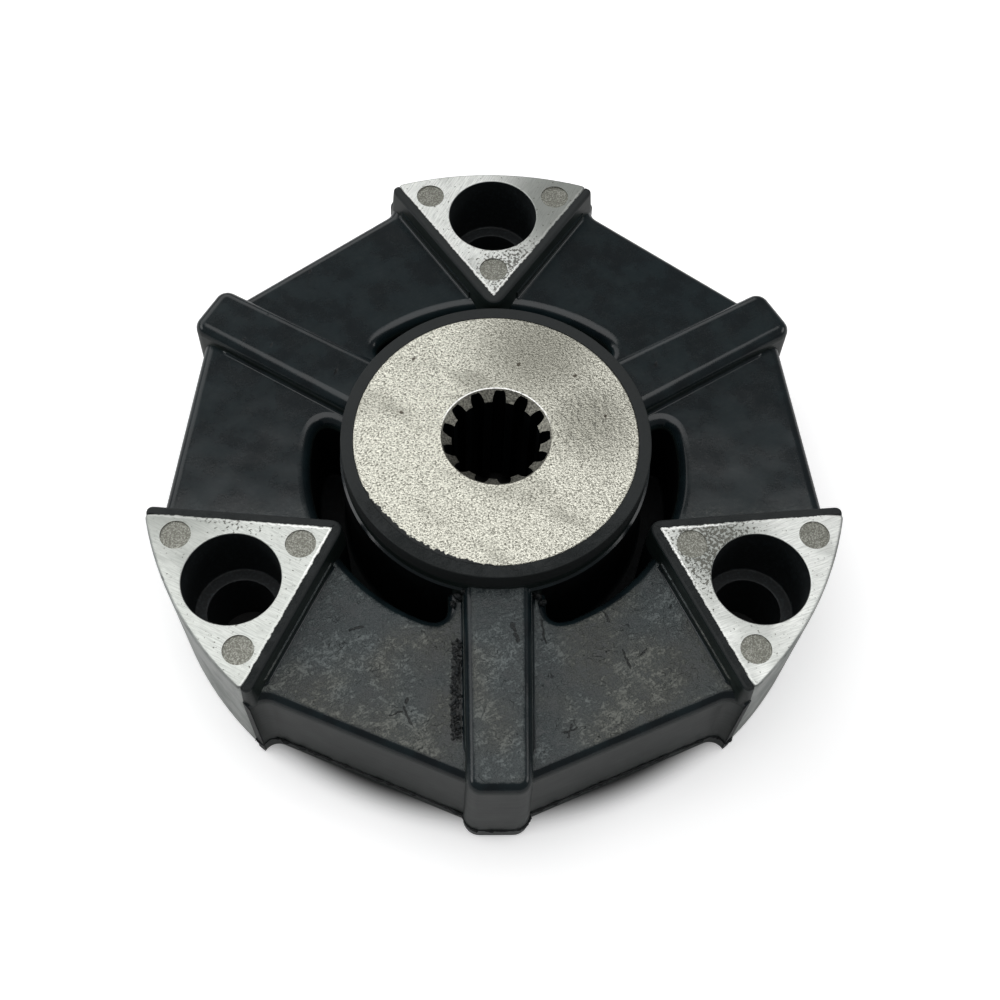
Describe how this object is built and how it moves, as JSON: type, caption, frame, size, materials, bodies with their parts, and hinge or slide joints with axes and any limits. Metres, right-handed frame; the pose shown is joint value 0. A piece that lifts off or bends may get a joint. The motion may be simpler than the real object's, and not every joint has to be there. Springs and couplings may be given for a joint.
{
  "type": "flexible pump coupling",
  "caption": "Round rubber-bonded coupling with a splined steel hub in the middle and aluminium bolt inserts round the rim, for a hydraulic pump drive.",
  "frame": {"origin": "on the shaft axis, in the plane that the inserts are bolted down on", "axes": "+Z along the shaft axis, towards the pump; +Y through the middle of bolt_insert_1"},
  "size_m": [0.1492, 0.15, 0.0382],
  "materials": {
    "rubber": "compression-moulded black rubber, faintly blue-green, dusty and scuffed on top",
    "hub_metal": "shot-blasted casting, ground lightly on its face",
    "insert_metal": "die casting, sanded on its top and dark in its bolt hole"
  },
  "bodies": {
    "root": {"rubber_body": "rubber", "splined_hub": "hub_metal", "bolt_insert_1": "insert_metal", "bolt_insert_2": "insert_metal", "bolt_insert_3": "insert_metal"}
  },
  "joints": []
}
